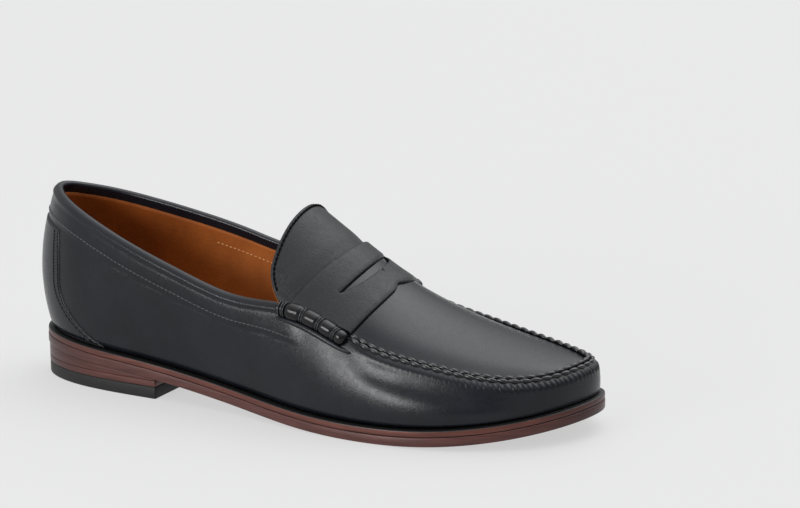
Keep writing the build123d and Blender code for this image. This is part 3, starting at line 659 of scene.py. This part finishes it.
# ---- linings ----
lining_stations = np.linspace(0, LAP, 420, endpoint=False)[:, None]
lining_heights = wall_height(lining_stations)
lining_top = 1 - (BAND - 0.3) / lining_heights
lining_shares = np.linspace(0.02, 1, 30)[None, :] * lining_top
waves = wall(lining_stations, lining_shares, 3.4)
sway = 0.25 * ripple(*np.moveaxis(waves, -1, 0), 38, 9)
seam_line = 0.45 * (bump(lining_stations, LINING_SEAM, 0.04)
                    + bump(lining_stations, LAP - LINING_SEAM, 0.04))
lining_face = wall(lining_stations, lining_shares, LINING_FACE + sway - seam_line)
lining_back = wall(lining_stations, lining_shares, LINING_BACK)
loop = np.concatenate([lining_face, lining_back[:, ::-1]], axis=1)
lining = make_mesh("lining_skin", loop.reshape(-1, 3),
                   grid_faces(*loop.shape[:2], close_rows=True, close_columns=True, flip=True), TAN)
stands_for(lining, "lining_leather", "quarter_lining_lateral", "quarter_lining_medial", "heel_grip",
           "vamp_lining")

marks = np.arange(length_at(LINING_ROW[0]), length_at(LINING_ROW[1]), LINING_PITCH)
starts, ends = [wall(spot, 1 - LINING_ROW_DROP / wall_height(spot), LINING_FACE + 0.05)
                for spot in (station_at(marks), station_at(marks + LINING_STITCH))]
points, faces = tubes(stitch_paths(starts, ends, -outward(station_at(marks)), 0.3, 0.4),
                      [THREAD * 0.7] * len(marks), 6)
lining_thread = make_mesh("lining_stitches", points, faces, THREAD_TAN)
stands_for(lining_thread, "lining_leather")


# ---- apron ----
def strap_back(y):
    return STRAP_BACK[0] - STRAP_BACK[1] * (y - STRAP_CROWN_Y) ** 2


TOE_STATION = 11.0
APRON_HALF_LAP = 4.6   # stations from the toe back to the apron's end, under the strap
span = APRON_HALF_LAP * np.linspace(0.003, 1, 170) ** 1.25
lateral_edge = topline(TOE_STATION - span) - outward(TOE_STATION - span)
medial_edge = topline(TOE_STATION + span) - outward(TOE_STATION + span)
across = 0.5 - 0.5 * np.cos(np.linspace(0, math.pi, 71))[None, :, None]
plan = lateral_edge[:, None, :2] * (1 - across) + medial_edge[:, None, :2] * across
height = apron_height(plan[..., 0], plan[..., 1])
half_width = np.linalg.norm(medial_edge - lateral_edge, axis=1)[:, None] / 2
from_edge = half_width * (1 - np.abs(2 * across[..., 0] - 1))
to_toe = np.linalg.norm(plan - topline(TOE_STATION)[:2], axis=-1)
from_edge = np.minimum(from_edge, to_toe)
seam_fall = SEAM_LEVEL + SEAM_TILT * plan[..., 1]
height = height + (seam_fall - 0.6) * bump(from_edge, 0, 6.0) * ease(plan[..., 0], 40, 50)
waves = ripple(plan[..., 0], plan[..., 1], 0 * height, 52, 12)
height = height + 0.2 * waves * ease(from_edge, 2, 12)
top = np.concatenate([plan, height[..., None]], -1)
under = np.concatenate([plan, height[..., None] - APRON], -1)
apron = make_mesh("apron_skin", *skin(top, under), UPPER)
stands_for(apron, "upper_leather", "apron", "apron_lining")


# ---- braided seam ----
def seam_point(length, angle, radius):
    """Point on the ridge: angle 0 is its crest, negative towards the apron."""
    station = station_at(length)
    out = outward(station)
    centre = topline(station) - out * SEAM_IN - np.array([0, 0, SEAM_DOWN])
    return (centre + out * (np.sin(angle) * radius)[..., None]
            + np.array([0, 0, 1.0]) * (np.cos(angle) * radius)[..., None])


first, last = length_at(SEAM[0]), length_at(SEAM[1])
pitches = np.arange(first, last, SEAM_PITCH)
paths, radii = [], []
for begin in pitches:
    # each pitch has two strands that cross the ridge, the second half a pitch further on
    for middle_angle, shift in ((-0.25, 0.0), (1.05, 0.5)):
        t = np.linspace(0, 1, 11)
        angle = middle_angle + 0.42 * (t - 0.5)
        length = begin + (shift + 1.2 * t) * SEAM_PITCH
        radius = 1.75 + 0.35 * np.sin(t * math.pi)
        paths.append(seam_point(length, angle, radius))
        radii.append(0.3 + 0.82 * np.sin(t * math.pi) ** 0.8)
points, faces = tubes(paths, radii, 8)
braid = make_mesh("apron_braid", points, faces, CORD)
stands_for(braid, "black_cord", "apron_stitches")
lengths = np.linspace(first - 2, last + 2, 260)
ridge_path = seam_point(lengths, 0 * lengths, 0 * lengths)
points, faces = tubes([ridge_path], [np.full(len(lengths), RIDGE_RADIUS)], 12)
ridge = make_mesh("apron_seam_skin", points, faces, THREAD_DULL)
stands_for(ridge, "roll_leather", "apron_seam")


# ---- strap ----
def slot_back(y):
    return SLOT_BACK[0] - SLOT_BACK[1] * (y - SLOT_CROWN_Y) ** 2


def slot_front(y):
    """The slot closes at its two ends, and its front edge has a small nick in the middle."""
    away = np.abs(y - STRAP_CROWN_Y)
    nick = SLOT_NICK * np.clip(1 - away / 1.1, 0, 1)
    return slot_back(y) + SLOT_WIDTH * np.clip(1 - (away / SLOT_HALF) ** 4, 0, 1) + nick


def strap_front(y):
    """Two lobes, the outer one reaching a little further, with a notch between them."""
    lateral = y < STRAP_CROWN_Y
    lobe = np.where(lateral, *STRAP_LOBES)
    beyond = np.clip(np.where(lateral, -9 - y, y - 6), 0, None)
    notch = np.clip(1 - np.abs(y - STRAP_CROWN_Y) / 7.0, 0, 1) ** 1.3
    bend = np.where(lateral, 0.0082, 0.013)
    return lobe - bend * beyond**2 - (lobe - STRAP_NOTCH) * notch


def strap_band(y, back, front, count):
    share = 0.5 - 0.5 * np.cos(np.linspace(0, math.pi, count))
    x = back[None, :] + share[:, None] * (front - back)[None, :]
    return np.stack([x, np.broadcast_to(y, x.shape)], -1)


ys = np.linspace(-STRAP_HALF, STRAP_HALF, 309)
back_band = strap_band(ys, strap_back(ys), slot_back(ys), 12)
front_band = strap_band(ys, slot_front(ys), strap_front(ys), 14)
inside_slot = np.abs(ys - STRAP_CROWN_Y) < SLOT_HALF
plan = np.concatenate([back_band, front_band])
surface = apron_height(plan[..., 0], plan[..., 1])
sag = 0.15 * ripple(plan[..., 0], plan[..., 1], 0 * surface, 30, 21)
round_off = np.minimum(ease(plan[..., 0] - strap_back(plan[..., 1]), -0.01, 0.9),
                       ease(strap_front(plan[..., 1]) - plan[..., 0], -0.01, 0.9))
gap_back = slot_back(plan[..., 1]) - plan[..., 0]
gap_front = plan[..., 0] - slot_front(plan[..., 1])
gap = np.where(gap_back >= -1e-9, gap_back, gap_front)
round_slot = np.where(inside_slot[None, :], ease(gap, -0.01, 0.8), 1)
thick = STRAP * (0.72 + 0.28 * np.minimum(round_off, round_slot))
top = np.concatenate([plan, (surface + 0.15 + thick + sag)[..., None]], -1)
under = np.concatenate([plan, (surface + 0.15)[..., None]], -1)


def strap_mesh():
    rows, columns = plan.shape[:2]
    below = rows * columns
    points = np.concatenate([top.reshape(-1, 3), under.reshape(-1, 3)])
    slot_row = len(back_band) - 1
    faces = []
    for i in range(rows - 1):
        for j in range(columns - 1):
            if i == slot_row and inside_slot[j] and inside_slot[j + 1]:
                continue
            a, b = i * columns + j, i * columns + j + 1
            c, d = (i + 1) * columns + j + 1, (i + 1) * columns + j
            faces += [(d, c, b, a), (a + below, b + below, c + below, d + below)]
    open_edges = {}
    for face in faces:
        for a, b in zip(face, face[1:] + face[:1]):
            if (b, a) in open_edges:
                del open_edges[(b, a)]
            else:
                open_edges[(a, b)] = True
    for a, b in open_edges:
        if a < below and b < below:
            faces.append((b, a, a + below, b + below))
    return points, faces


strap = make_mesh("saddle_strap_skin", *strap_mesh(), GRAINED)
stands_for(strap, "strap_leather", "saddle_strap")

# ---- tongue ----
TONGUE_HALF = 38.5


def tongue_edge(y):
    """Free edge, hollow in the middle and with a tight round corner at each end."""
    away = np.abs(y - STRAP_CROWN_Y)
    corner = np.clip((away - 28.5) / 10, 0, 1)
    hollow = TONGUE_HOLLOW * np.cos(np.clip(away / 30, 0, 1) * math.pi / 2) ** 2
    return TONGUE_BACK + hollow + 10 * corner**2.6


def tongue_height(x, y):
    """Padded a little above the apron's line, and pressed down beside the strap."""
    from_strap = strap_back(y) - x
    return apron_height(x, y) + 0.8 * ease(from_strap, 0.5, 7) - 0.45 * bump(from_strap, 0, 0.9)


ys = np.sin(np.linspace(-math.pi / 2, math.pi / 2, 141)) * TONGUE_HALF
rise = np.linspace(0, 1, 60)[:, None]
tongue_front = strap_back(ys) + 5.0
x = tongue_edge(ys) + (0.35 * rise**3 + 0.65 * rise) * (tongue_front - tongue_edge(ys))
y = np.broadcast_to(ys, x.shape)
surface = tongue_height(x, y)
dist = np.minimum(x - tongue_edge(ys), TONGUE_HALF - np.abs(y))
soft = ease(dist, -0.01, 1.1)
swollen = 0.16 * ripple(x, y, 0 * x, 34, 31) - 0.18 * bump(dist, 1.8, 0.7)
tongue_top = np.stack([x, y, surface - 0.55 * (1 - soft) + swollen], -1)
tongue_mid = np.stack([x, y, surface - 1.6 + 0.25 * (1 - soft)], -1)
tongue_low = np.stack([x, y, surface - 2.4 + 0.3 * (1 - soft)], -1)


def tongue_piece(name, upper, lower, finish):
    piece = make_mesh(name, *skin(upper, lower), finish, body=None)
    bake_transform(piece)
    return piece


stands_for(tongue_piece("tongue_skin", tongue_top, tongue_mid, GRAINED), "strap_leather", "tongue")
stands_for(tongue_piece("tongue_lining_skin", tongue_mid, tongue_low, TAN), "lining_leather",
           "tongue_lining")
row_y = np.linspace(-TONGUE_ROW_HALF, TONGUE_ROW_HALF, 400)
row_x = tongue_edge(row_y) + 1.7
row = np.stack([row_x, row_y, tongue_height(row_x, row_y) - 0.05], -1)
walked = np.concatenate([[0], np.cumsum(np.linalg.norm(np.diff(row, axis=0), axis=1))])
marks = np.arange(0, walked[-1] - TONGUE_PITCH, TONGUE_PITCH)
starts, ends = [np.stack([np.interp(marks + shift, walked, row[:, k]) for k in range(3)], -1)
                for shift in (0, TONGUE_PITCH * 0.58)]
up = np.tile((0.0, 0.0, 1.0), (len(marks), 1))
points, faces = tubes(stitch_paths(starts, ends, up, 0.22, 0.35), [TONGUE_THREAD] * len(marks), 6)
tongue_thread = make_mesh("tongue_stitches_skin", points, faces, THREAD_DULL, body=None)
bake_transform(tongue_thread)
stands_for(tongue_thread, "black_thread", "tongue_stitches")


# ---- beef rolls ----
LIP_END = 1.08         # the lip under a roll ends a little in front of it
CORD_SHARES = (0.05, 0.09, 0.13, 0.37, 0.61, 0.84)
CORD_BUNDLE = 0.2      # the turns before this share lie side by side, the others are doubled
CORD_STRANDS = (-0.55, 0.55)
CORD_RADIUS = 0.38


def roll_axis(station):
    """The roll follows the topline, a little outside and below it."""
    return topline(station) + 1.5 * outward(station) - np.array([0, 0, 1.0])


def roll_radius(share):
    """Thinner towards the toe, drawn in under each cord, and rounded at both ends."""
    radius = ROLL_RADIUS * (1.04 - 0.2 * share)
    for cord in CORD_SHARES:
        radius = radius * (1 - 0.24 * bump(share, cord, 0.034))
    cap = np.sqrt(np.clip(1 - ((share - 0.5) / 0.5) ** 16, 0, 1))
    return radius * (0.25 + 0.75 * cap)


for side, (back, front) in (("lateral", ROLL_LATERAL), ("medial", ROLL_MEDIAL)):
    share = np.linspace(0, 1, 90)
    centres = roll_axis(back + share * (front - back))
    points, faces = tubes([centres], [roll_radius(share)], 24)
    roll = make_mesh("beef_roll_" + side + "_skin", points, faces, GLOSSY)
    stands_for(roll, "roll_leather", "beef_roll_" + side)
    rings, ring_radii = [], []
    for number, cord in enumerate(CORD_SHARES):
        station = back + cord * (front - back)
        centre = roll_axis(station)
        way = roll_axis(station + 0.02) - roll_axis(station - 0.02)
        way /= np.linalg.norm(way)
        out = outward(station)
        out = out - way * (out @ way)
        out /= np.linalg.norm(out)
        high = np.cross(way, out)
        turn = np.linspace(0, 2 * math.pi, 33)[:, None]
        size = roll_radius(np.array(cord)) + 0.4
        tilt = 0.35 * math.sin(2.3 * number + 0.4)
        loop = centre + size * (np.cos(turn) * out + np.sin(turn) * high) + way * np.cos(turn) * tilt
        for shift in CORD_STRANDS if cord > CORD_BUNDLE else (0.0,):
            rings.append(loop + way * shift)
            ring_radii.append(np.full(len(loop), CORD_RADIUS))
    points, faces = tubes(rings, ring_radii, 8)
    cords = make_mesh("roll_cord_" + side + "_skin", points, faces, ROLL_THREAD)
    stands_for(cords, "black_cord", "roll_cord_" + side)
    # a lip of the wall's leather swells out under the roll
    share = np.linspace(0.02, LIP_END, 60)
    lip_stations = back + share * (front - back)
    fall_off = np.sin(share / LIP_END * math.pi) ** 0.5
    centres = (roll_axis(lip_stations) + outward(lip_stations) * (1.6 + 1.0 * fall_off[:, None])
               - np.array([0, 0, 1.0]) * (3.9 + 0.7 * fall_off[:, None]))
    points, faces = tubes([centres], [0.35 + 1.15 * fall_off], 12)
    lip = make_mesh("roll_lip_" + side, points, faces, UPPER)
    stands_for(lip, "upper_leather")


# ---- sole and heel ----
def edge_ring(name, sections, finish, count=420):
    """Closed band round the shoe from (inset, height above the welt's top) sections."""
    station = np.linspace(0, LAP, count, endpoint=False)[:, None]
    inset = np.array([row[0] for row in sections])[None, :]
    drop = np.array([row[1] for row in sections])[None, :]
    xy = sole_point(station + 0 * inset, inset + 0 * station)
    edge_x = sole_point(station + 0 * inset, 0 * inset + 0 * station)[..., 0]
    z = welt_top(edge_x) + drop
    ring = np.concatenate([xy, z[..., None]], -1)
    return make_mesh(name, ring.reshape(-1, 3),
                     grid_faces(count, len(sections), close_rows=True, close_columns=True), finish)


def rounded(low, high, inset, bulge, radius, deep):
    """Section of one layer: its outer edge is rounded, and its back is deep inside."""
    steps = np.linspace(0, math.pi / 2, 5)
    lower = [(inset + radius * (1 - math.sin(t)), low + radius * (1 - math.cos(t))) for t in steps]
    upper = [(inset + radius * (1 - math.cos(t)), high - radius * (1 - math.sin(t))) for t in steps]
    middle_row = [(inset - bulge, (low + high) / 2)]
    return [(deep, low)] + lower + middle_row + upper + [(deep, high)]


welt = edge_ring("welt_skin", rounded(-2.85, 0, 0.2, 0.1, 0.4, 8.0), WELT_LEATHER)
welt.data.materials.append(DRESSING_AND_SHADE)
# faces turned up and down take the black dressing, which over the top's rounding is painted shade of
# the gap where the upper meets the welt
for polygon in welt.data.polygons:
    polygon.material_index = 1 if abs(polygon.normal.z) > 0.5 else 0
stands_for(welt, "welt_leather", "welt")


def cut_outline(inset, front, count=260):
    """Points round the outline behind a straight front edge, evenly spaced."""
    station = np.linspace(0, LAP, 1500, endpoint=False)
    xy = sole_point(station, np.full(1500, float(inset)))
    if front is not None:
        keep = xy[:, 0] < front
        lateral = xy[keep & (station < LAP / 2)]
        medial = xy[keep & (station > LAP / 2)]
        across = np.linspace(0, 1, 60)[1:-1, None]
        bridge_start = np.array([front, lateral[-1, 1]])
        bridge_end = np.array([front, medial[0, 1]])
        straight = bridge_start + across * (bridge_end - bridge_start)
        xy = np.concatenate([lateral, [bridge_start], straight, [bridge_end], medial])
    loop = np.concatenate([xy, xy[:1]])
    walk = np.concatenate([[0], np.cumsum(np.linalg.norm(np.diff(loop, axis=0), axis=1))])
    even = np.linspace(0, walk[-1], count, endpoint=False)
    return np.stack([np.interp(even, walk, loop[:, k]) for k in (0, 1)], -1)


def plate(name, inset, low, high, finish, front=None, radius=0.6):
    """Layer of the bottom, with rounded rims and filled faces."""
    profile = [(radius, 0.0, 0.0), (radius * 0.3, 0.0, radius * 0.3), (0.0, 0.0, radius),
               (0.0, 1.0, -radius), (radius * 0.3, 1.0, -radius * 0.3), (radius, 1.0, 0.0)]
    outlines = {}
    rings = []
    for shrink, share, offset in profile:
        if shrink not in outlines:
            cut = None if front is None else front - shrink
            outlines[shrink] = cut_outline(inset + shrink, cut)
        xy = outlines[shrink]
        bottom, upper = low(xy[:, 0]), high(xy[:, 0])
        rings.append(np.stack([xy[:, 0], xy[:, 1], bottom + (upper - bottom) * share + offset], -1))
    count = len(rings[0])
    points = np.concatenate(rings)
    faces = grid_faces(len(rings), count, close_columns=True)
    # each flat side is filled by strips from the lateral to the medial half
    fills = []
    half = count // 2
    for base, flip in ((0, False), ((len(rings) - 1) * count, True)):
        for k in range(half):
            a, b = k, k + 1
            c, d = count - 1 - k, (count - k) % count
            quad = [a, b, c, d] if len({a, b, c, d}) == 4 else list(dict.fromkeys([a, b, c, d]))
            if len(quad) >= 3 and b < c:
                face = tuple(base + q for q in quad)
                fills.append(face if flip else face[::-1])
    return make_mesh(name, points, faces + fills, finish)


def level(height):
    return lambda x: 0 * x + height


outsole = plate("outsole_skin", 0.0, lambda x: welt_top(x) - SOLE_EDGE, lambda x: welt_top(x) - WELT,
                SOLE_LEATHER, radius=0.5)
stands_for(outsole, "sole_leather", "outsole")
seat_lift = plate("heel_seat_lift_skin", 0.5, level(TOP_PIECE + HEEL_LIFT + 0.2),
                  lambda x: welt_top(x) - SOLE_EDGE - 0.1, HEEL_LEATHER, HEEL_FRONT, 0.3)
stands_for(seat_lift, "sole_leather", "heel_seat_lift")
lift = plate("heel_lift_skin", 0.5, level(TOP_PIECE + 0.1), level(TOP_PIECE + HEEL_LIFT + 0.1),
             HEEL_LEATHER, HEEL_FRONT, 0.3)
stands_for(lift, "sole_leather", "heel_lift")
top_piece = plate("heel_top_piece_skin", 0.6, level(0.0), level(TOP_PIECE), RUBBER, HEEL_FRONT, 0.5)
stands_for(top_piece, "heel_rubber", "heel_top_piece")

# ---- CAD nodes that stay ----
for node, finish in (("sock_lining", SOCK), ("insole", BOARD), ("cork_filler", CORK),
                     ("shank", STEEL), ("heel_nails", BRASS), ("heel_stiffener", BOARD),
                     ("toe_puff", BOARD)):
    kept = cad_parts[node]
    kept.data.materials.clear()
    kept.data.materials.append(finish)

# ---- floor, light and camera ----
floor_colour, tree, shader = material("floor", (0.11, 0.11, 0.11), 0.8)
shader.inputs["Emission Color"].default_value = (1, 1, 1, 1)
shader.inputs["Emission Strength"].default_value = 0.56
bpy.ops.mesh.primitive_plane_add(size=60, location=(0, 0, 0))
floor = bpy.context.object
floor.name = "floor"
floor.data.materials.append(floor_colour)


def area_light(name, place, aim, size, power):
    data = bpy.data.lights.new(name, "AREA")
    data.shape = "RECTANGLE"
    data.size, data.size_y = size
    data.energy = power
    lamp = bpy.data.objects.new(name, data)
    lamp.location = place
    lamp.rotation_euler = (Vector(aim) - Vector(place)).to_track_quat("-Z", "Y").to_euler()
    lamp.visible_camera = False
    bpy.context.scene.collection.objects.link(lamp)


area_light("front_left", (-0.50, -1.57, 0.50), (0.0, 0.0, 0.05), (0.8, 0.5), 19.0)

# A studio with a broad bright ceiling, a large soft light behind on the toe's side, and dim walls.
world = bpy.data.worlds.new("studio")
bpy.context.scene.world = world
world.use_nodes = True
sky = world.node_tree
direction = sky.nodes.new("ShaderNodeTexCoord").outputs["Generated"]
split = sky.nodes.new("ShaderNodeSeparateXYZ")
sky.links.new(direction, split.inputs["Vector"])


def combine(operation, first_value, second_value):
    node = sky.nodes.new("ShaderNodeMath")
    node.operation = operation
    for socket, value in zip(node.inputs, (first_value, second_value)):
        if isinstance(value, float):
            socket.default_value = value
        else:
            sky.links.new(value, socket)
    return node.outputs["Value"]


def soft_light(toward, narrow, strength):
    """Light from round a direction, which fades faster away from it where it is narrower."""
    facing = sky.nodes.new("ShaderNodeVectorMath")
    facing.operation = "DOT_PRODUCT"
    sky.links.new(direction, facing.inputs[0])
    facing.inputs[1].default_value = toward
    positive = combine("MAXIMUM", facing.outputs["Value"], 0.0)
    return combine("MULTIPLY", combine("POWER", positive, narrow), strength)


ceiling = soft_light((0.0, 0.0, 1.0), 5.0, 1.5)
key = soft_light((0.224, 0.480, 0.848), 7.0, 3.7)
left = soft_light((-0.94, -0.34, 0.0), 3.0, 0.65)
walls = ramp(sky, split.outputs["Z"], 0.0, 0.4, grey(0.13), grey(0.46))
total = combine("ADD", combine("ADD", ceiling, key), combine("ADD", walls, left))
sky.links.new(total, sky.nodes["Background"].inputs["Strength"])
sky.nodes["Background"].inputs["Color"].default_value = (0.985, 0.99, 1.0, 1)

camera_data = bpy.data.cameras.new("camera")
camera_data.lens = 136.8
camera_data.sensor_width = 36.0
camera = bpy.data.objects.new("camera", camera_data)
bpy.context.scene.collection.objects.link(camera)
camera.location = (0.6753, -1.2363, 0.4199)
gaze = Vector((0.0354, 0.0284, 0.0699)) - camera.location
camera.rotation_euler = (gaze.to_track_quat("-Z", "Y").to_matrix()
                         @ Matrix.Rotation(math.radians(-0.11), 3, "Z")).to_euler()
bpy.context.scene.camera = camera
bpy.context.scene.view_settings.view_transform = "Standard"
